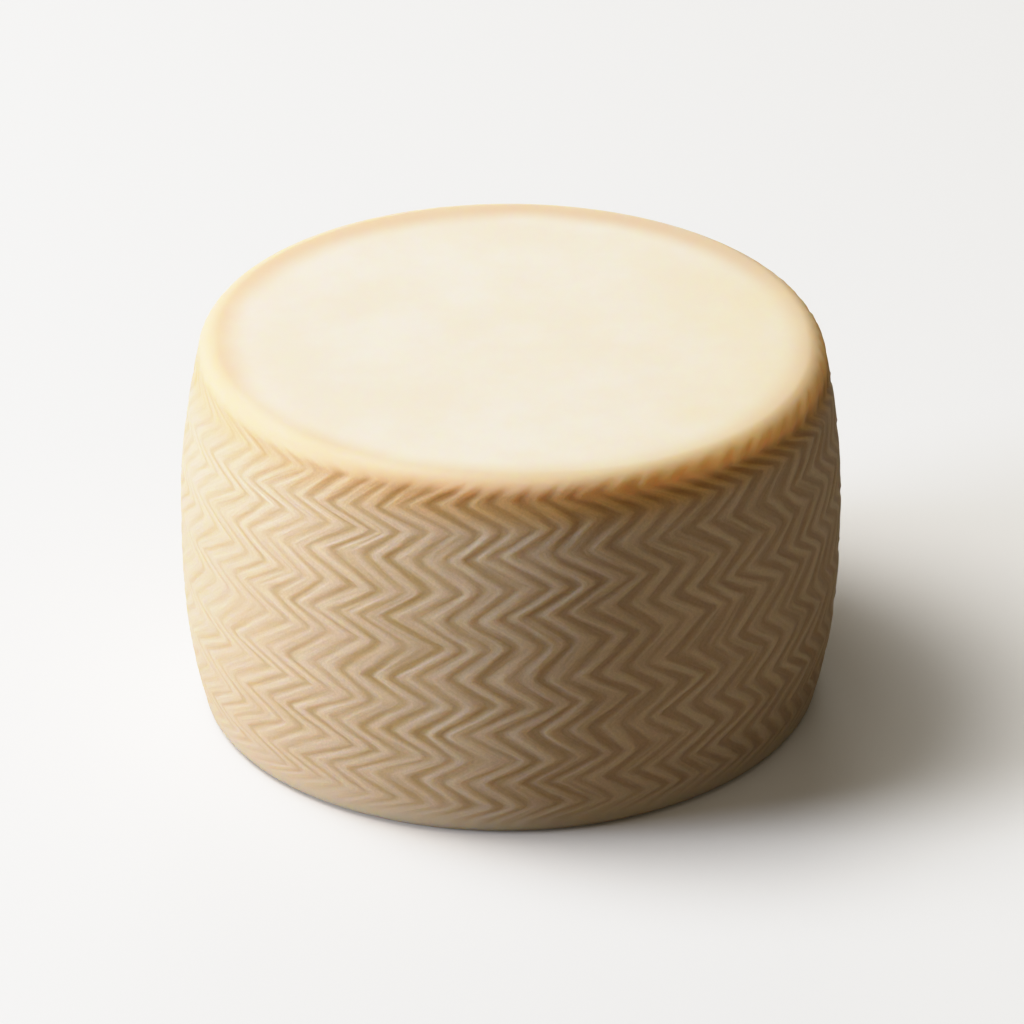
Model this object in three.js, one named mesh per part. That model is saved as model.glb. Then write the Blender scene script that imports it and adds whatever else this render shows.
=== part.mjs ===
// A whole, uncut wheel of pressed cheese: a low barrel with a flat top and base, and the zigzag relief
// that a plaited grass belt presses into its side.
//
// Millimetres, +Z up. The origin is the centre of the base, on the surface that the wheel stands on.

import * as THREE from 'three';

const { clamp, degToRad, lerp, smoothstep } = THREE.MathUtils;

// The barrel. Radii are those of the ridge crests.
const HEIGHT = 112.6;
const GIRTH_RADIUS = 95.3; // widest
const GIRTH_HEIGHT = 61.3; // where it is widest
const TOP_DRAW_IN = 7.1; // how far the side has drawn in by the top plane
const BASE_DRAW_IN = 6.8; // how far it has drawn in by the base plane
const TOP_CURVE = 1.77; // power law of the draw-in, above the girth and below it
const BASE_CURVE = 3.04;
const EDGE_RADIUS = 6; // rounding of the top edge
const FOOT_RADIUS = 3.8; // rounding of the bottom edge

// The wheel settles a little out of round while it is young: base and top are ovals turned crosswise, and
// the top edge stands out on one side.
const BASE_OVAL = 1.2; // how much longer than round
const BASE_OVAL_SIDE = degToRad(49); // and which way
const TOP_OVAL = 0.6;
const TOP_OVAL_SIDE = degToRad(115);
const BULGE = 3;
const BULGE_SIDE = degToRad(-42);

// The plait: a run of slanting strands in each row, leaning the other way in the next row. The highest
// lines of turns reach the wheel only where the belt dips.
const STRANDS_AROUND = 74;
const GROOVE_DEPTH = 0.8;
const DEPTH_VARIATION = 0.3; // share by which the grooves get deeper and shallower
const TOP_TURN_HEIGHT = 122.1; // the highest line along which the strands turn
const ROW_WIDTHS = [8.4, 8.4, 6.6, 8.4, 9.4, 8.5, 8.5, 10.9, 8.4, 9, 8.9, 8, 8.5, 5.7]; // from there down
const ROW_SWING = degToRad(6.5); // how far round the wheel a strand runs in one row
const ROW_WANDER = 0.5; // how far a turning line rises and falls
const STRAND_WANDER = degToRad(0.7); // how far a strand strays sideways
const PLAIT_DRIFT = degToRad(4); // how far the belt has slipped round at mid height
const FIRST_STRAND = degToRad(1); // where round the wheel the first strand starts
const BASE_FADE = 14; // the height over which the plait dies out towards the base
const TOP_FADE = 6; // and towards the top, which is more where the belt dips and less across from there
const TOP_FADE_TILT = 3;

// The belt lay askew, so that its lines dip by a share of their height, most near one side of the wheel.
const DIP = 0.038;
const DIP_TILT = 0.039;
const DIP_TILT_SIDE = degToRad(166);
const DIP_FOLD = 0.036;
const DIP_FOLD_SIDE = degToRad(18);

// On one side the belt lay slack: the grooves are shallower there, the strands swing further, and the rows
// that lean one way are narrower than those that lean the other way.
const SLACK_SIDE = degToRad(190);
const SLACK_DEPTH = 0.6;
const SLACK_SWING = 1.4;
const ROW_SQUEEZE = 1.6;

// Each strand is three columns of the mesh, as shares of the strand's pitch and of the groove's depth.
const STRAND_COLUMNS = [
  { across: 0.08, depth: 1 },
  { across: 0.42, depth: 0.12 },
  { across: 0.74, depth: 0 },
];

// Where the rings lie that round off the foot and the top edge, and the plait's highest ring, as shares
// of the two roundings, measured from the flat faces.
const FOOT_RINGS = [0, 0.3];
const EDGE_RINGS = [0.23, 0.06, 0];
const PLAIT_TOP = 0.5;
const CLOSEST_RINGS = 1.5; // below the plait's highest ring, where the lines of turns run off the wheel

// The smooth barrel's radius at a height, with its two rounded edges.
function barrelRadius(z) {
  const onSide = clamp(z, FOOT_RADIUS, HEIGHT - EDGE_RADIUS);
  const above = Math.max(onSide - GIRTH_HEIGHT, 0) / (HEIGHT - GIRTH_HEIGHT);
  const below = Math.max(GIRTH_HEIGHT - onSide, 0) / GIRTH_HEIGHT;
  const sideRadius = GIRTH_RADIUS - TOP_DRAW_IN * above ** TOP_CURVE - BASE_DRAW_IN * below ** BASE_CURVE;
  const rounding = z > onSide ? EDGE_RADIUS : FOOT_RADIUS;
  return sideRadius - rounding + Math.sqrt(Math.max(rounding ** 2 - (z - onSide) ** 2, 0));
}

// A slow, uneven wave round the wheel, between about -1 and 1, that closes on itself.
function wave(angle, seed) {
  const slow = Math.sin(5 * angle + 1.7 * seed);
  const middle = Math.sin(11 * angle + 4.1 * seed);
  const quick = Math.sin(23 * angle + 2.9 * seed);
  return (slow + middle + quick) / 2;
}

function outOfRound(angle, z) {
  const atBase = BASE_OVAL * Math.cos(2 * (angle - BASE_OVAL_SIDE));
  const atTop = TOP_OVAL * Math.cos(2 * (angle - TOP_OVAL_SIDE));
  const bulge = BULGE * Math.max(0, Math.cos(angle - BULGE_SIDE)) ** 5;
  return lerp(atBase, atTop, z / HEIGHT) + bulge * smoothstep(z, GIRTH_HEIGHT, HEIGHT);
}

// How clearly the plait shows at a height, from 0 to 1.
function plaitShare(straight, z) {
  const topFade = TOP_FADE + TOP_FADE_TILT * Math.cos(straight - DIP_TILT_SIDE);
  return smoothstep(z, 0, BASE_FADE) * (1 - smoothstep(z, HEIGHT - topFade, HEIGHT));
}

// How slack the belt lay there, from 0 to 1.
function slackness(straight) {
  return (0.5 + 0.5 * Math.cos(straight - SLACK_SIDE)) ** 4;
}

// Every second line of turns is where the strands have swung furthest one way.
function turnLean(turn) {
  return turn % 2 === 0 ? -1 : 1;
}

// The heights at which a strand turns, from the base up.
function turnHeights(straight) {
  const tilt = DIP_TILT * Math.cos(straight - DIP_TILT_SIDE);
  const fold = DIP_FOLD * Math.cos(2 * (straight - DIP_FOLD_SIDE));
  const squeeze = ROW_SQUEEZE * Math.max(0, Math.cos(straight - SLACK_SIDE)) ** 2;
  const level = [TOP_TURN_HEIGHT];
  for (const width of ROW_WIDTHS) {
    level.unshift(level[0] - width);
  }
  return level.map((z, turn) => {
    const unevenness = turnLean(turn) * squeeze + ROW_WANDER * wave(straight, turn + 0.5);
    return z * (1 - DIP - tilt - fold) + smoothstep(z, 0, BASE_FADE) * unevenness;
  });
}

// How far a strand has swung sideways at a height, from -1 to 1.
function strandLean(z, turns) {
  const above = turns.findIndex((height) => height > z);
  if (above <= 0) {
    return turnLean(above < 0 ? turns.length - 1 : 0);
  }
  const below = above - 1;
  return lerp(turnLean(below), turnLean(above), (z - turns[below]) / (turns[above] - turns[below]));
}

// One column of the mesh, from the centre of the base to the centre of the top.
function strandColumn(straight, columnDepth) {
  const plaitTop = HEIGHT - PLAIT_TOP * EDGE_RADIUS;
  const turns = turnHeights(straight);
  const heights = [
    ...FOOT_RINGS.map((share) => share * FOOT_RADIUS),
    ...turns.map((z, turn) => Math.min(z, plaitTop - CLOSEST_RINGS * (turns.length - 1 - turn))),
    ...EDGE_RINGS.map((share) => HEIGHT - share * EDGE_RADIUS),
  ];
  const slack = slackness(straight);
  const swing = (ROW_SWING / 2) * lerp(1, SLACK_SWING, slack);
  const fullDepth = GROOVE_DEPTH * columnDepth * lerp(1, SLACK_DEPTH, slack);

  const rings = heights.map((z, ring) => {
    const drift = PLAIT_DRIFT * Math.sin((Math.PI * z) / HEIGHT);
    const stray = STRAND_WANDER * wave(straight, ring);
    const angle = straight + swing * strandLean(z, turns) + drift + stray;
    const groove = fullDepth * plaitShare(straight, z) * (1 + DEPTH_VARIATION * wave(straight, 2 * ring + 1));
    const radius = barrelRadius(z) + outOfRound(angle, z) - groove;
    return new THREE.Vector3(radius * Math.cos(angle), radius * Math.sin(angle), z);
  });
  return [new THREE.Vector3(0, 0, 0), ...rings, new THREE.Vector3(0, 0, HEIGHT)];
}

// Splits each four-cornered patch of a lathed surface along its shorter diagonal, so that no triangle
// reaches across a ridge, whichever way the ridge leans.
function splitShorterWay(geometry) {
  const { array } = geometry.index;
  const corner = (index) => new THREE.Vector3().fromBufferAttribute(geometry.attributes.position, index);
  for (let patch = 0; patch < array.length; patch += 6) {
    const [a, b, d, c] = array.slice(patch, patch + 4);
    if (corner(a).distanceTo(corner(c)) < corner(b).distanceTo(corner(d))) {
      array.set([a, b, c, a, c, d], patch);
    }
  }
}

// A lathed barrel with three columns for each strand, which then follow the zigzag.
function cheeseWheelGeometry() {
  const pitch = (2 * Math.PI) / STRANDS_AROUND;
  const columns = [];
  for (let strand = 0; strand < STRANDS_AROUND; strand++) {
    for (const { across, depth } of STRAND_COLUMNS) {
      columns.push(strandColumn(FIRST_STRAND + (strand + across) * pitch, depth));
    }
  }

  const profile = columns[0].map(({ x, y, z }) => new THREE.Vector2(Math.hypot(x, y), z));
  const geometry = new THREE.LatheGeometry(profile, columns.length);
  for (let column = 0; column <= columns.length; column++) {
    columns[column % columns.length].forEach(({ x, y, z }, ring) => {
      geometry.attributes.position.setXYZ(column * profile.length + ring, x, y, z);
    });
  }
  splitShorterWay(geometry);
  geometry.computeVertexNormals();
  return geometry;
}

const cheese = new THREE.MeshStandardMaterial({ color: 0xe6d3a8, roughness: 0.6, metalness: 0 });

const wheel = new THREE.Mesh(cheeseWheelGeometry(), cheese);
wheel.name = 'cheese_wheel';

const part = new THREE.Group();
part.add(wheel);

export default part;
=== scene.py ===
# A whole wheel of pressed cheese, standing on a pale floor in soft studio light.
# Metres, +Z up. The origin is the centre of the base, on the surface that the wheel stands on.

import math

import bmesh
import bpy
import numpy as np
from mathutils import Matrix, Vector


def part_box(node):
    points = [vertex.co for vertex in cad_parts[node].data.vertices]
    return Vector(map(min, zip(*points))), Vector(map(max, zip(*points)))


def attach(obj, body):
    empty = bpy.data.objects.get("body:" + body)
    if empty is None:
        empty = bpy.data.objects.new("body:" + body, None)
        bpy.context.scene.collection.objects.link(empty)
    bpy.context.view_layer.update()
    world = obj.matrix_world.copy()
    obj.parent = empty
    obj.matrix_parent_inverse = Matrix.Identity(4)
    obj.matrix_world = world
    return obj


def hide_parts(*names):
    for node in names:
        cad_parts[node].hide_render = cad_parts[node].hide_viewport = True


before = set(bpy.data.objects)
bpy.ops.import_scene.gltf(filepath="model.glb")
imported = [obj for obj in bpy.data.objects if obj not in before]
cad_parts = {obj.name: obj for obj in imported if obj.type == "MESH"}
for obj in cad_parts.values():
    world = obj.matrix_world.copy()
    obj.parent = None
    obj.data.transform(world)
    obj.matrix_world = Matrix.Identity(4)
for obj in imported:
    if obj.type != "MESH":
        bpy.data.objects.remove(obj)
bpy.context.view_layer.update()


# ---- The wheel ----
# One solid of pressed curd with its own dry, pale rind. It was pressed in a round mould between two smooth
# boards, with a plaited grass belt round its side. The boards left the flat faces and their rounded edges,
# and the belt left the zigzag of slanting strands.

# The barrel. Radii are those of the ridge crests.
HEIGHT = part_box("cheese_wheel")[1].z
GIRTH_RADIUS = 0.0952  # widest
GIRTH_HEIGHT = 0.0613  # where it is widest
TOP_DRAW_IN = 0.0071  # how far the side has drawn in by the top face
BASE_DRAW_IN = 0.0068  # how far it has drawn in by the base
TOP_CURVE = 1.77  # power law of the draw-in, above the girth and below it
BASE_CURVE = 3.04
EDGE_RADIUS = 0.006  # rounding of the top edge
FOOT_RADIUS = 0.0038  # rounding of the bottom edge

# It settled a little out of round: base and top are ovals turned crosswise, and the top edge stands out
# on one side.
BASE_OVAL = 0.0012  # how much longer than round
BASE_OVAL_SIDE = math.radians(49)  # and which way
TOP_OVAL = 0.0006
TOP_OVAL_SIDE = math.radians(115)
BULGE = 0.003
BULGE_SIDE = math.radians(-42)
BULGE_NARROWNESS = 5
ROUND_WITHIN = 0.08  # from this radius inwards the two faces go back to round

# The plait: a run of slanting strands in each row, leaning the other way in the next row.
STRANDS = 74
TOP_TURN_HEIGHT = 0.1221  # the highest line along which the strands would turn, above the wheel's edge
ROW_WIDTHS = np.array([  # from there down
    8.4, 8.4, 6.6, 8.4, 9.4, 8.5, 8.5, 10.9, 8.4, 9.0, 8.9, 8.0, 8.5, 5.7,
]) / 1000
TURN_HEIGHTS = (TOP_TURN_HEIGHT - np.concatenate([[0], np.cumsum(ROW_WIDTHS)]))[::-1]
ROW_SWING = math.radians(6.5)  # how far round the wheel a strand runs in one row
ROW_WANDER = 0.0005  # how far a turning line rises and falls
TURN_SHARPNESS = 0.985  # 1 is a sharp turn, and less is a rounder one
STRAND_WANDER = math.radians(0.7)  # how far the strands stray sideways together
PLAIT_DRIFT = math.radians(4)  # how far the belt has slipped round at mid height
FIRST_STRAND = math.radians(1)  # where round the wheel the first strand starts
GROOVE_PLACE = 0.08  # where the groove lies between one strand and the next
BASE_FADE = 0.014  # the height over which the plait dies out towards the base
TOP_FADE = 0.006  # and towards the top, which is more where the belt dips and less across from there
TOP_FADE_TILT = 0.003

# The belt lay askew, so that its lines dip by a share of their height, most near one side of the wheel.
DIP = 0.038
DIP_TILT = 0.039
DIP_TILT_SIDE = math.radians(166)
DIP_FOLD = 0.036
DIP_FOLD_SIDE = math.radians(18)

# On one side the belt lay slack: the grooves are shallower there, the strands swing further, and the rows
# that lean one way are narrower than those that lean the other way.
SLACK_SIDE = math.radians(190)
SLACK_DEPTH = 0.4  # the share of the depth that is left there
SLACK_SWING = 1.4
ROW_SQUEEZE = 0.0016

# On the other side it lay tight, and pressed deeper by this share.
TIGHT_SIDE = math.radians(-10)
TIGHT_DEPTH = 0.4

# One strand: two grass stems side by side, with a groove on each side and sometimes a crease between them.
GROOVE_DEPTH = 0.00043
CREST_BREADTH = 2.0  # 1 gives ridges with a sharp crest, 2 an even wave, and more a broad crest
STRAND_DEPTHS = (0.65, 1.2)  # the least and the most of a strand's groove, as shares of that depth
CREASE_DEPTH = 0.7  # to the power below, this is the deepest crease, as a share of the same depth
CREASE_RARITY = 1.5  # above 1 more of the creases are shallow
CREASE_BREADTH = 0.14  # in strands
CREASE_PLACES = (0.4, 0.6)  # across the strand
TURN_STRAY = 0.09  # how far a single strand strays at a turn, in strands
ROW_STRAY = 0.12  # and along a row
ROW_CHANGE = 0.36  # the share of a row's height in which a strand's stray changes to the next row's
WOBBLE = 0.06  # how far the edges of a strand waver, in strands
FIBRE_DEPTH = 0.00014  # of the uneven lines along the strands
BROAD_FIBRES = 0.6  # how strong the broad ones are beside the fine ones
FIBRE_CREST = 0.2  # how far they may stand proud, as a share of their depth
STRAND_SEED = 12

COLUMNS_PER_STRAND = 11
ROW_STEP = 0.00115  # height of one row of the mesh


def barrel_radius(height):
    """The smooth barrel's radius at a height, with its two rounded edges."""
    on_side = np.clip(height, FOOT_RADIUS, HEIGHT - EDGE_RADIUS)
    above = np.maximum(on_side - GIRTH_HEIGHT, 0) / (HEIGHT - GIRTH_HEIGHT)
    below = np.maximum(GIRTH_HEIGHT - on_side, 0) / GIRTH_HEIGHT
    side_radius = GIRTH_RADIUS - TOP_DRAW_IN * above**TOP_CURVE - BASE_DRAW_IN * below**BASE_CURVE
    rounding = np.where(height > on_side, EDGE_RADIUS, FOOT_RADIUS)
    return side_radius - rounding + np.sqrt(np.maximum(rounding**2 - (height - on_side) ** 2, 0))


# The smooth barrel: its profile from the middle of the base to the middle of the top, and a grid that is
# wrapped round to it.
foot_angles = np.radians([90, 66, 44, 22])
edge_angles = np.radians([7, 15, 22, 30, 37, 45, 52, 60, 67, 75, 82, 90])
rows_up_side = round((HEIGHT - EDGE_RADIUS - FOOT_RADIUS) / ROW_STEP)
ring_heights = np.concatenate([
    FOOT_RADIUS * (1 - np.sin(foot_angles)),
    np.linspace(FOOT_RADIUS, HEIGHT - EDGE_RADIUS, rows_up_side + 1),
    HEIGHT - EDGE_RADIUS * (1 - np.sin(edge_angles)),
])
face_shares = np.array([0, 0.4, 0.7, 0.92])
profile = np.concatenate([
    [(share * barrel_radius(0), 0) for share in face_shares],
    [(barrel_radius(height), height) for height in ring_heights],
    [(share * barrel_radius(HEIGHT), HEIGHT) for share in face_shares[::-1]],
])

columns = STRANDS * COLUMNS_PER_STRAND
wrapped = bmesh.new()
bmesh.ops.create_grid(wrapped, x_segments=columns, y_segments=len(profile) - 1, size=1)
for vertex in wrapped.verts:
    angle = math.pi * (1 + vertex.co.x)
    radius, height = profile[round((1 + vertex.co.y) / 2 * (len(profile) - 1))]
    vertex.co = (radius * math.cos(angle), radius * math.sin(angle), height)
bmesh.ops.remove_doubles(wrapped, verts=wrapped.verts, dist=1e-6)
bmesh.ops.recalc_face_normals(wrapped, faces=wrapped.faces)
for face in wrapped.faces:
    face.smooth = True
wheel_mesh = bpy.data.meshes.new("wheel_rind")
wrapped.to_mesh(wheel_mesh)
wrapped.free()


def wave(angle, seed):
    """A slow, uneven wave round the wheel, between about -1 and 1, that closes on itself."""
    slow = np.sin(5 * angle + 1.7 * seed)
    middle = np.sin(11 * angle + 4.1 * seed)
    quick = np.sin(23 * angle + 2.9 * seed)
    return (slow + middle + quick) / 2


def smooth_step(share):
    share = np.clip(share, 0, 1)
    return share * share * (3 - 2 * share)


def between_turns(value_at_turn, turn):
    """A value of a strand part of the way from one turning line to the next."""
    below = np.floor(turn).astype(int)
    share = turn - below
    return value_at_turn(below) * (1 - share) + value_at_turn(below + 1) * share


# Each point of the barrel, and its angle round the wheel before the strands swing it sideways.
unpressed = np.empty(len(wheel_mesh.vertices) * 3, np.float32)
wheel_mesh.vertices.foreach_get("co", unpressed)
unpressed = unpressed.reshape(-1, 3).astype(float)
x, y, height = unpressed.T
straight = np.arctan2(y, x) % (2 * math.pi)
radius = np.hypot(x, y)

tilt = DIP_TILT * np.cos(straight - DIP_TILT_SIDE)
fold = DIP_FOLD * np.cos(2 * (straight - DIP_FOLD_SIDE))
squeeze = ROW_SQUEEZE * np.clip(np.cos(straight - SLACK_SIDE), 0, 1) ** 2
slack = (0.5 + 0.5 * np.cos(straight - SLACK_SIDE)) ** 4


def turn_line(index):
    """The height of one line of turns, at each point's angle round the wheel."""
    lean_there = -1 if index % 2 == 0 else 1
    level = TURN_HEIGHTS[index]
    unevenness = lean_there * squeeze + ROW_WANDER * wave(straight, index + 0.5)
    return level * (1 - DIP - tilt - fold) + smooth_step(level / BASE_FADE) * unevenness


# How far up through the turning lines each point lies, and how far along its strand's swing, -1 to 1.
lines = np.array([turn_line(index) for index in range(len(TURN_HEIGHTS))])
turn = np.clip((height - lines[:-1]) / (lines[1:] - lines[:-1]), 0, 1).sum(axis=0)
lean = 1 - 2 * np.abs(1 - turn % 2)
lean = np.arcsin(TURN_SHARPNESS * np.sin(lean * math.pi / 2)) / math.asin(TURN_SHARPNESS)
top_fade = TOP_FADE + TOP_FADE_TILT * np.cos(straight - DIP_TILT_SIDE)
belt_depth = smooth_step(height / BASE_FADE) * (1 - smooth_step((height - HEIGHT + top_fade) / top_fade))

# Every strand has its own depth and stray at each turn, and its own crease, as grass stems do.
stems = np.random.default_rng(STRAND_SEED)
stem_table = (STRANDS, len(TURN_HEIGHTS) + 1)
stem_depth = stems.uniform(*STRAND_DEPTHS, stem_table)
stem_stray = stems.uniform(-TURN_STRAY, TURN_STRAY, stem_table)
row_stray = stems.uniform(-ROW_STRAY, ROW_STRAY, stem_table)
crease_depth = stems.uniform(0, CREASE_DEPTH, stem_table) ** CREASE_RARITY
crease_place = stems.uniform(*CREASE_PLACES, stem_table)


def within_row(table, stem, turn):
    """A value that a strand keeps in each row, and changes quickly where it turns."""
    middle = np.maximum(turn - 0.5, 0)
    below = np.floor(middle).astype(int)
    share = smooth_step((middle - below - (1 - ROW_CHANGE) / 2) / ROW_CHANGE)
    return table[stem % STRANDS, below] * (1 - share) + table[stem % STRANDS, below + 1] * share


def groove_line(stem):
    """Where round the wheel a groove lies, counted in strands."""
    return (
        stem
        + between_turns(lambda index: stem_stray[stem % STRANDS, index], turn)
        + within_row(row_stray, stem, turn)
    )


def groove_depth(stem):
    return between_turns(lambda index: stem_depth[stem % STRANDS, index], turn)


def uneven_lines(lines_per_strand, lengths_per_row):
    """Random, soft lines along the strands, between -1 and 1, that close on themselves."""
    table = stems.uniform(-1, 1, (STRANDS * lines_per_strand, len(TURN_HEIGHTS) * lengths_per_row + 1))
    beside = straight / (2 * math.pi) * len(table)
    along = turn * lengths_per_row
    column = np.floor(beside).astype(int) % len(table)
    row = np.floor(along).astype(int)
    share = 0.5 - 0.5 * np.cos(math.pi * (beside % 1))
    rise = 0.5 - 0.5 * np.cos(math.pi * (along % 1))
    after = (column + 1) % len(table)
    lower = table[column, row] * (1 - share) + table[after, row] * share
    upper = table[column, row + 1] * (1 - share) + table[after, row + 1] * share
    return lower * (1 - rise) + upper * rise


# Which strand each point is on, how far from its crest, and how deep the belt pressed it.
across = (straight - FIRST_STRAND) / (2 * math.pi / STRANDS) - GROOVE_PLACE
across += WOBBLE * (uneven_lines(2, 3) + uneven_lines(1, 4))
stem = np.floor(across).astype(int)
stem = stem - (across < groove_line(stem)) + (across >= groove_line(stem + 1))
share_across = (across - groove_line(stem)) / (groove_line(stem + 1) - groove_line(stem))
from_crest = np.clip(np.abs(2 * share_across - 1), 0, 1)
groove = np.sin(from_crest * math.pi / 2) ** CREST_BREADTH
groove *= np.where(share_across < 0.5, groove_depth(stem), groove_depth(stem + 1))
from_crease = (share_across - within_row(crease_place, stem, turn)) / CREASE_BREADTH
groove += within_row(crease_depth, stem, turn) * np.exp(-from_crease * from_crease)
tight = np.clip(np.cos(straight - TIGHT_SIDE), 0, 1) ** 2
pressure = belt_depth * (1 - (1 - SLACK_DEPTH) * slack)
groove *= pressure * (1 + TIGHT_DEPTH * tight)

fibres_raised = pressure * (uneven_lines(4, 2) + BROAD_FIBRES * uneven_lines(2, 1))
pressed_in = GROOVE_DEPTH * groove - FIBRE_DEPTH * np.minimum(fibres_raised, FIBRE_CREST)

# Every point is swung sideways with its strand, put out of round and pressed in.
swing = lean * ROW_SWING / 2 * (1 + (SLACK_SWING - 1) * slack)
drift = PLAIT_DRIFT * np.sin(math.pi * height / HEIGHT)
sideways = STRAND_WANDER * between_turns(lambda index: wave(straight, index), turn)
angle = straight + swing + drift + sideways
base_oval = BASE_OVAL * np.cos(2 * (angle - BASE_OVAL_SIDE)) * (1 - height / HEIGHT)
top_oval = TOP_OVAL * np.cos(2 * (angle - TOP_OVAL_SIDE)) * height / HEIGHT
bulge = BULGE * np.clip(np.cos(angle - BULGE_SIDE), 0, 1) ** BULGE_NARROWNESS
bulge *= smooth_step((height - GIRTH_HEIGHT) / (HEIGHT - GIRTH_HEIGHT))
out_of_round = (base_oval + top_oval + bulge) * np.clip(radius / ROUND_WITHIN, 0, 1)
pressed_radius = np.maximum(radius + out_of_round - pressed_in, 0)
pressed_radius[radius < 1e-6] = 0
pressed = np.stack([pressed_radius * np.cos(angle), pressed_radius * np.sin(angle), height], axis=1)
wheel_mesh.vertices.foreach_set("co", pressed.astype(np.float32).ravel())

# What the finish has to know of each point: how deep in a groove it is, how strongly the belt pressed
# there, and where it lay before the strands swung it.
groove_layer = wheel_mesh.attributes.new("groove", "FLOAT", "POINT")
groove_layer.data.foreach_set("value", np.clip(groove, 0, 1).astype(np.float32))
pressure_layer = wheel_mesh.attributes.new("pressure", "FLOAT", "POINT")
pressure_layer.data.foreach_set("value", pressure.astype(np.float32))
strand_layer = wheel_mesh.attributes.new("strand_space", "FLOAT_VECTOR", "POINT")
strand_layer.data.foreach_set("vector", unpressed.astype(np.float32).ravel())
wheel_mesh.update()


# The rind's finish: dry and slightly waxy, with light going a few millimetres into it. It is cream on the
# top, tan on the strands and on the base, and golden brown in the grooves, partly the rind's own colour and
# partly painted shade, with the grooves painted as a lit copy on the left and a paler shaded copy on the
# right.
# There is an amber ring where the top edge was rubbed and dried first, painted lighter at the front right as
# painted light. Below that edge the side has an amber tint, partly its own and partly a painted glow that
# grows towards the shaded right, and opposite the slack side it turns ochre, which is a painted glow of
# light showing through the edge on the shaded side.

def plug(tree, value, socket):
    """Sets a node's input to a value, or links another node's output to it."""
    if isinstance(value, bpy.types.NodeSocket):
        tree.links.new(value, socket)
    else:
        socket.default_value = value


def add_node(tree, kind, **inputs):
    """A shader node with its inputs plugged in, each named with _ for a space."""
    made = tree.nodes.new(kind)
    for name, value in inputs.items():
        plug(tree, value, made.inputs[name.replace("_", " ")])
    return made


def noise(tree, place, scale, detail, roughness=0.5):
    made = add_node(tree, "ShaderNodeTexNoise", Vector=place, Scale=scale, Detail=detail)
    made.inputs["Roughness"].default_value = roughness
    return made.outputs["Fac"]


def ramp(tree, value, low, high, low_result=0.0, high_result=1.0):
    """A smooth step from one value to another."""
    made = add_node(tree, "ShaderNodeMapRange", Value=value)
    made.interpolation_type = "SMOOTHSTEP"
    made.inputs["From Min"].default_value = low
    made.inputs["From Max"].default_value = high
    made.inputs["To Min"].default_value = low_result
    made.inputs["To Max"].default_value = high_result
    return made.outputs["Result"]


def blend(tree, share, first, second, kind="MIX"):
    """Mixes two colours."""
    made = tree.nodes.new("ShaderNodeMix")
    made.data_type = "RGBA"
    made.blend_type = kind
    plug(tree, share, made.inputs[0])
    plug(tree, first, made.inputs[6])
    plug(tree, second, made.inputs[7])
    return made.outputs[2]


def combine(tree, operation, first, second):
    """One step of arithmetic on two numbers."""
    made = tree.nodes.new("ShaderNodeMath")
    made.operation = operation
    plug(tree, first, made.inputs[0])
    plug(tree, second, made.inputs[1])
    return made.outputs[0]


# The strands' own tan. The groove colours below are partly the rind's own golden brown and partly painted
# shade in the grooves.
STRAND_CREST = (0.655, 0.505, 0.355, 1)
# Painted shade by side: a lit copy of the groove colour at the left and a paler shaded copy at the right.
GROOVE_TINT_AND_SHADE_LIT_SIDE = (0.485, 0.335, 0.14, 1)  # at the left
GROOVE_TINT_AND_SHADE_SHADED_SIDE = (0.495, 0.35, 0.22, 1)  # at the right
FACE_CREAM = (0.87, 0.725, 0.565, 1)
FACE_CREAM_PALE = (0.90, 0.775, 0.64, 1)
RIM_AMBER = (0.74, 0.52, 0.34, 1)
# Painted light: the ring is painted lighter and paler at the front right, where the lit top edge falls off
# into shade.
RIM_AMBER_PAINTED_LIGHT = (0.81, 0.625, 0.41, 1)  # at the front right
# Painted glow: an ochre strip under the top edge on the shaded right, standing in for light showing through
# the edge.
RIM_OCHRE_PAINTED_GLOW = (0.87, 0.60, 0.235, 1)
# Partly painted glow: the amber tint under the edge is the rind's own, but it is painted four times stronger
# on the shaded right than on the lit left, for light showing through the rind.
AMBER_TINT_AND_GLOW = (1.0, 0.78, 0.34, 1)
NO_TINT = (1, 1, 1, 1)

# Where one colour gives way to the next: along X, along Y, or as heights or radii.
GROOVE_SHADE_CHANGE_X = (-0.04, 0.025)
RING_RADII = (0.0745, 0.0855)
RING_SHIFT = 0.05  # by this share of Y the ring reaches further in behind, and less far in front
# These place the ring's painted light at the front right.
PAINTED_LIGHT_RIM_X = (-0.03, 0.03)
PAINTED_LIGHT_RIM_Y = (-0.085, -0.015)
AMBER_AND_GLOW_HEIGHTS = (0.095, 0.105)
# The amber tint's painted glow grows along X, from the least share below on the lit left.
PAINTED_GLOW_AMBER_X = (-0.09, 0.055)
LEAST_AMBER = 0.25
PAINTED_GLOW_HEIGHTS = (0.1035, 0.108)
PAINTED_GLOW_X = (0.0, 0.06)
EDGE_HEIGHTS = (0.107, 0.1118)
# The edge's colour starts higher on the side with the painted glow.
EDGE_LIFT = 0.0015  # how much higher the edge's colour starts on the ochre side
RAGGEDNESS = 0.012  # how unevenly these borders run

# Noise cells per metre.
FIBRE_CELLS = 900
FIBRE_STRETCH = 0.16  # cells upwards for each one across
GRAIN_CELLS = 1400
MOTTLE_CELLS = 38
CLOUD_CELLS = 14

# The darkest and the lightest of the fibres and of the grain.
FIBRE_TONES = (0.94, 1.05)
GRAIN_TONES = (0.93, 1.05)
BUMP_STRENGTH = 0.4  # of their fine relief, where the belt pressed hardest

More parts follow.
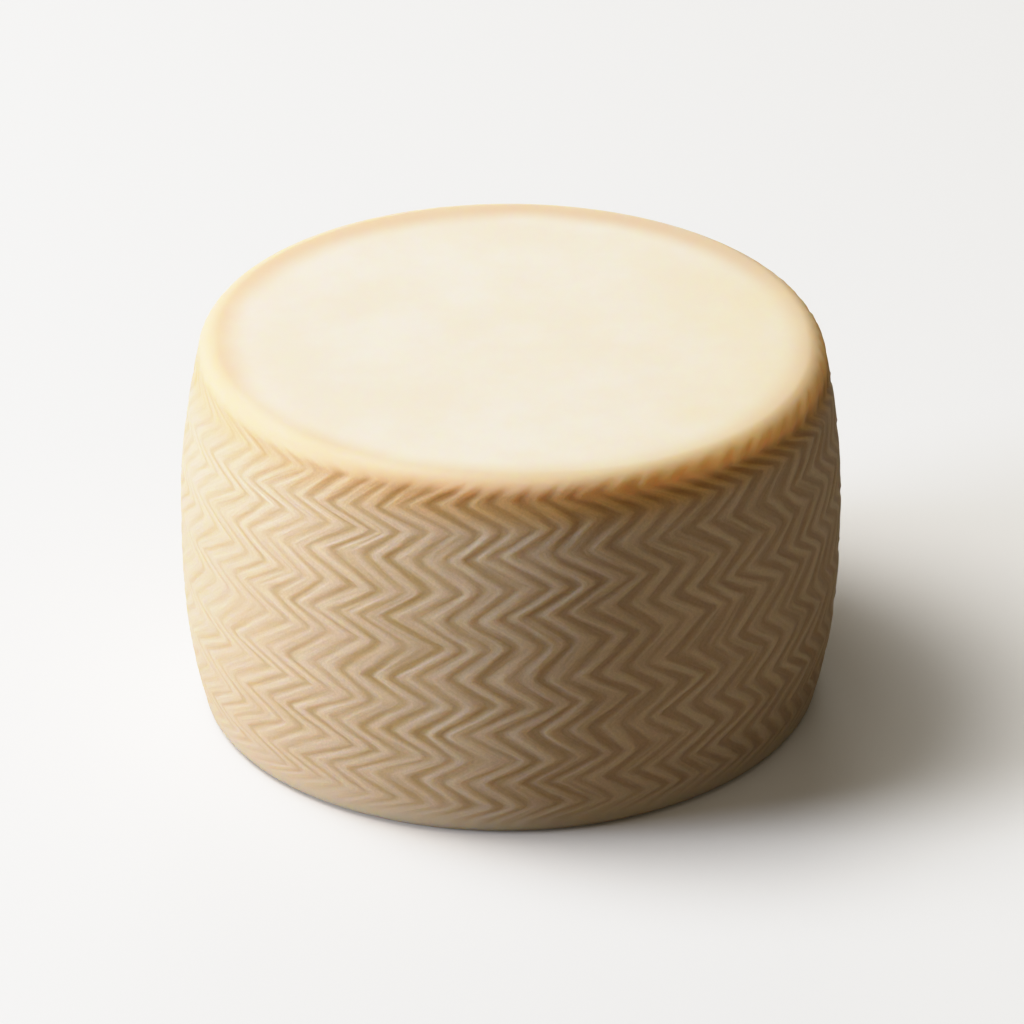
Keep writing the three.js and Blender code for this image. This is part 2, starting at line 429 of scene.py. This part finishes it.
rind = bpy.data.materials.new("cheese_rind")
rind.use_nodes = True
tree = rind.node_tree
tree.nodes.clear()
place = tree.nodes.new("ShaderNodeTexCoord").outputs["Object"]
axes = add_node(tree, "ShaderNodeSeparateXYZ", Vector=place).outputs
strand_attribute = tree.nodes.new("ShaderNodeAttribute")
strand_attribute.attribute_name = "strand_space"
groove_attribute = tree.nodes.new("ShaderNodeAttribute")
groove_attribute.attribute_name = "groove"
pressure_attribute = tree.nodes.new("ShaderNodeAttribute")
pressure_attribute.attribute_name = "pressure"
pressed_share = pressure_attribute.outputs["Fac"]

stretched = add_node(tree, "ShaderNodeMapping", Vector=strand_attribute.outputs["Vector"])
stretched.inputs["Scale"].default_value = (1, 1, FIBRE_STRETCH)
fibres = noise(tree, stretched.outputs["Vector"], FIBRE_CELLS, 3)
mottle = noise(tree, place, MOTTLE_CELLS, 4, 0.55)
cloud = noise(tree, place, CLOUD_CELLS, 3)
grain = noise(tree, place, GRAIN_CELLS, 4, 0.7)

# The side: strands and grooves, fibres and grain, where the belt pressed. The grooves' darker tone is partly
# the rind's own colour and partly painted shade, and it changes from a lit copy at the left to a paler
# shaded copy at the right.
groove_tint_and_shade_by_side = blend(tree, ramp(tree, axes["X"], *GROOVE_SHADE_CHANGE_X), GROOVE_TINT_AND_SHADE_LIT_SIDE, GROOVE_TINT_AND_SHADE_SHADED_SIDE)
groove_tint_and_shade_share = ramp(tree, groove_attribute.outputs["Fac"], 0.05, 1.0)
crest_and_groove_tint_and_shade = blend(tree, groove_tint_and_shade_share, STRAND_CREST, groove_tint_and_shade_by_side)
fibre_tone = ramp(tree, fibres, 0.3, 0.7, *FIBRE_TONES)
fibre_colour = blend(tree, pressed_share, crest_and_groove_tint_and_shade, fibre_tone, "MULTIPLY")
grain_tone = ramp(tree, grain, 0.35, 0.65, *GRAIN_TONES)
side_colour = blend(tree, pressed_share, fibre_colour, grain_tone, "MULTIPLY")

# The top: mottled cream inside an amber ring, which is painted lighter at the front right as painted light.
level_place = add_node(tree, "ShaderNodeCombineXYZ", X=axes["X"], Y=axes["Y"])
from_axis = add_node(tree, "ShaderNodeVectorMath")
from_axis.operation = "LENGTH"
tree.links.new(level_place.outputs["Vector"], from_axis.inputs[0])
ragged = combine(tree, "MULTIPLY", combine(tree, "SUBTRACT", cloud, 0.5), RAGGEDNESS)
ragged_radius = combine(tree, "ADD", from_axis.outputs["Value"], ragged)
ragged_height = combine(tree, "ADD", axes["Z"], combine(tree, "MULTIPLY", ragged, 0.5))
ring_place = combine(tree, "ADD", ragged_radius, combine(tree, "MULTIPLY", axes["Y"], RING_SHIFT))
painted_light_by_side = ramp(tree, axes["X"], *PAINTED_LIGHT_RIM_X)
painted_light_in_front = ramp(tree, axes["Y"], *PAINTED_LIGHT_RIM_Y, 1.0, 0.0)
painted_light_share = combine(tree, "MULTIPLY", painted_light_by_side, painted_light_in_front)
ring_colour_and_painted_light = blend(tree, painted_light_share, RIM_AMBER, RIM_AMBER_PAINTED_LIGHT)
face_colour = blend(tree, ramp(tree, mottle, 0.3, 0.75), FACE_CREAM, FACE_CREAM_PALE)
face_and_ring = blend(tree, ramp(tree, ring_place, *RING_RADII), face_colour, ring_colour_and_painted_light)

# Between them: the side's amber tint, partly painted glow, its ochre part, which is a painted glow of light
# showing through the edge on the shaded side, and the edge.
amber_and_glow_by_side = ramp(tree, axes["X"], *PAINTED_GLOW_AMBER_X, LEAST_AMBER, 1.0)
amber_and_glow_share = combine(tree, "MULTIPLY", amber_and_glow_by_side, ramp(tree, ragged_height, *AMBER_AND_GLOW_HEIGHTS))
amber_and_glow_tint = blend(tree, amber_and_glow_share, NO_TINT, AMBER_TINT_AND_GLOW)
tinted_and_glowing_side = blend(tree, 1.0, side_colour, amber_and_glow_tint, "MULTIPLY")
painted_glow_by_side = ramp(tree, axes["X"], *PAINTED_GLOW_X)
painted_glow_share = combine(tree, "MULTIPLY", painted_glow_by_side, ramp(tree, ragged_height, *PAINTED_GLOW_HEIGHTS))
side_with_painted_glow = blend(tree, painted_glow_share, tinted_and_glowing_side, RIM_OCHRE_PAINTED_GLOW)
lift = combine(tree, "MULTIPLY", painted_glow_by_side, EDGE_LIFT)
on_edge = ramp(tree, combine(tree, "SUBTRACT", ragged_height, lift), *EDGE_HEIGHTS)
rind_colour = blend(tree, on_edge, side_with_painted_glow, face_and_ring)

bump = combine(tree, "MULTIPLY", pressed_share, BUMP_STRENGTH)
fibre_bump = add_node(tree, "ShaderNodeBump", Height=fibres, Strength=bump, Distance=0.0003)
grain_bump = add_node(tree, "ShaderNodeBump", Height=grain, Strength=bump, Distance=0.0002)
tree.links.new(fibre_bump.outputs["Normal"], grain_bump.inputs["Normal"])

surface = tree.nodes.new("ShaderNodeBsdfPrincipled")
tree.links.new(rind_colour, surface.inputs["Base Color"])
tree.links.new(grain_bump.outputs["Normal"], surface.inputs["Normal"])
surface.inputs["Roughness"].default_value = 0.55
surface.inputs["Specular IOR Level"].default_value = 0.35
surface.inputs["Subsurface Weight"].default_value = 0.9
surface.inputs["Subsurface Scale"].default_value = 0.016
surface.inputs["Subsurface Radius"].default_value = (1.0, 0.6, 0.2)
output = tree.nodes.new("ShaderNodeOutputMaterial")
tree.links.new(surface.outputs["BSDF"], output.inputs["Surface"])

wheel = bpy.data.objects.new("wheel_rind", wheel_mesh)
bpy.context.scene.collection.objects.link(wheel)
wheel_mesh.materials.append(rind)
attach(wheel, "root")
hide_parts("cheese_wheel")


# ---- Floor, light and camera ----
# A pale matt floor that throws a darker, warmer light back onto the wheel. The light comes from large round
# lamps high on the left and a little behind, and from a low one on the left. Weak ones stand behind and in
# front, and the surround is dim and warm.

FLOOR_RADIUS = 8
FLOOR_WHITE = (0.90, 0.893, 0.882, 1)
FLOOR_BOUNCE = (0.32, 0.265, 0.195, 1)

floor_shape = bmesh.new()
bmesh.ops.create_circle(floor_shape, cap_ends=True, segments=96, radius=FLOOR_RADIUS)
floor_mesh = bpy.data.meshes.new("floor")
floor_shape.to_mesh(floor_mesh)
floor_shape.free()
floor = bpy.data.objects.new("floor", floor_mesh)
bpy.context.scene.collection.objects.link(floor)

matt = bpy.data.materials.new("matt_floor")
matt.use_nodes = True
floor_tree = matt.node_tree
floor_surface = floor_tree.nodes["Principled BSDF"]
floor_surface.inputs["Roughness"].default_value = 0.9
floor_surface.inputs["Specular IOR Level"].default_value = 0.1
seen_by = floor_tree.nodes.new("ShaderNodeLightPath")
soft_or_glossy = (seen_by.outputs["Is Diffuse Ray"], seen_by.outputs["Is Glossy Ray"])
by_bounce = combine(floor_tree, "MAXIMUM", *soft_or_glossy)
floor_colour = blend(floor_tree, by_bounce, FLOOR_WHITE, FLOOR_BOUNCE)
floor_tree.links.new(floor_colour, floor_surface.inputs["Base Color"])
floor_mesh.materials.append(matt)


def towards(azimuth, elevation):
    """The direction so many degrees round from the right, anticlockwise from above, and so many up."""
    round_angle = math.radians(azimuth)
    rise_angle = math.radians(elevation)
    return Vector((
        math.cos(rise_angle) * math.cos(round_angle),
        math.cos(rise_angle) * math.sin(round_angle),
        math.sin(rise_angle),
    ))


def add_lamp(name, way, distance, size, power, colour):
    """A round soft light that faces the wheel, at a distance that way from it."""
    light = bpy.data.lights.new(name, "AREA")
    light.shape = "DISK"
    light.size = size
    light.energy = power
    light.color = colour
    lamp = bpy.data.objects.new(name, light)
    lamp.location = way * distance
    lamp.rotation_euler = way.to_track_quat("Z", "Y").to_euler()
    lamp.visible_camera = False
    bpy.context.scene.collection.objects.link(lamp)


add_lamp("key", towards(165, 62), 3.5, 1.9, 28, (1, 1, 1))
add_lamp("near_key", towards(172, 58), 2.2, 1.4, 24, (1, 1, 1))
add_lamp("high_behind", towards(150, 70), 3.0, 1.6, 16, (1, 1, 0.97))
add_lamp("high_front", towards(-80, 74), 3.5, 2.4, 8, (1.05, 1, 0.88))
add_lamp("low_left", towards(192, 12), 3.0, 1.2, 89, (0.955, 1.015, 1.14))
add_lamp("behind", towards(90, 12), 3.0, 1.2, 20, (1.03, 1, 0.88))
add_lamp("front_fill", towards(-85, 20), 3.0, 1.6, 4, (1.1, 1, 0.78))

surround = bpy.data.worlds.new("surround")
surround.use_nodes = True
glow = surround.node_tree.nodes["Background"]
glow.inputs["Color"].default_value = (1, 0.79, 0.49, 1)
glow.inputs["Strength"].default_value = 0.07
bpy.context.scene.world = surround

# Plain colours up to a bright grey, and a soft shoulder above it, as a camera gives.
SHOULDER_START = 0.7
SHOULDER_POINTS = (0.35, 0.7, 0.8, 0.95, 1.15, 1.5, 2.2)
BRIGHTEST = 4
display = bpy.context.scene.view_settings
display.view_transform = "Standard"
display.use_curve_mapping = True
display.curve_mapping.clip_max_x = BRIGHTEST
tone = display.curve_mapping.curves[3].points
tone[-1].location = (BRIGHTEST, 1)
for bright in SHOULDER_POINTS:
    past = max(bright - SHOULDER_START, 0) / (1 - SHOULDER_START)
    shown = min(bright, SHOULDER_START) + (1 - SHOULDER_START) * (1 - math.exp(-past))
    tone.new(bright, shown)
display.curve_mapping.update()

CAMERA_ELEVATION = 28.13
CAMERA_DISTANCE = 1.902
CAMERA_AIM = Vector((0.0003, -0.0008, 0.0553))

camera_data = bpy.data.cameras.new("camera")
camera_data.sensor_width = 36
camera_data.lens = 232.2
camera = bpy.data.objects.new("camera", camera_data)
camera_way = towards(-90, CAMERA_ELEVATION)
camera.location = CAMERA_AIM + camera_way * CAMERA_DISTANCE
camera.rotation_euler = camera_way.to_track_quat("Z", "Y").to_euler()
bpy.context.scene.collection.objects.link(camera)
bpy.context.scene.camera = camera
